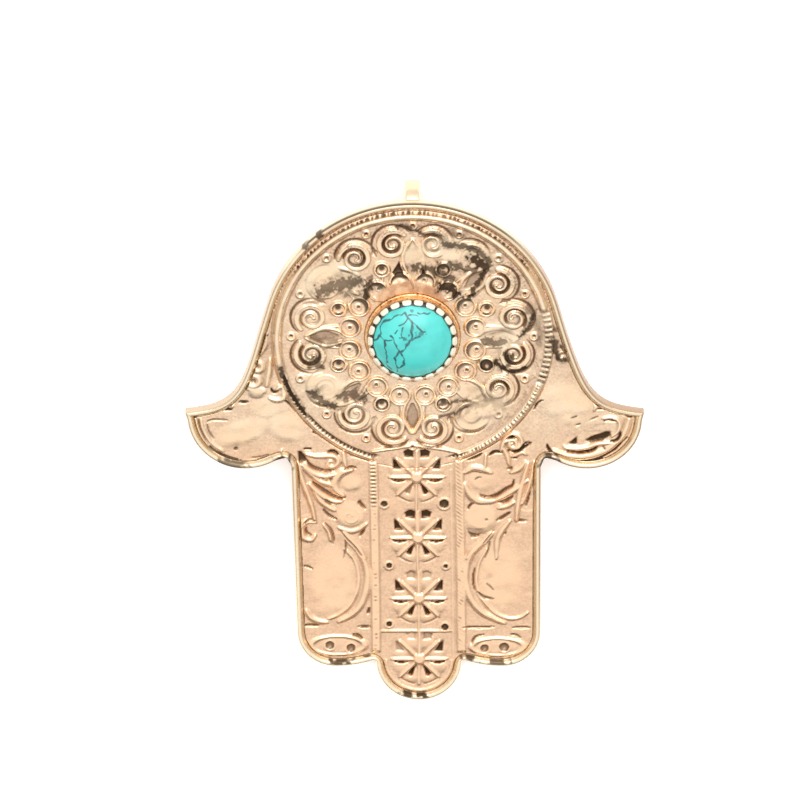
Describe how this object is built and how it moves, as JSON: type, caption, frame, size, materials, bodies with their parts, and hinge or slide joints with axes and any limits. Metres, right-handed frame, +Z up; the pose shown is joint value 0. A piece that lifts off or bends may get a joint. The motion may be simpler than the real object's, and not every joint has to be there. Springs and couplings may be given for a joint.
{
  "type": "hamsa pendant",
  "caption": "Cast metal hand pendant with curled thumbs, raised scroll ornament, a round domed stone in a toothed setting, and a fixed loop behind its top edge.",
  "frame": {"origin": "centre of the pendant's box at its base, on the surface that it lies on", "axes": "+Z up, off the surface; +Y from the middle fingertip towards the bail; +X along the bail's hole, to the right thumb as the front is seen"},
  "size_m": [0.0552, 0.067, 0.0085],
  "materials": {
    "cast_metal": "polished pale rose-gold casting, darkened in the recesses",
    "setting_metal": "polished, slightly warmer than the casting",
    "turquoise": "polished opaque turquoise stone with fine dark veins"
  },
  "bodies": {
    "root": {"hand_plate": "cast_metal", "serrated_bezel": "setting_metal", "cabochon": "turquoise"}
  },
  "joints": []
}
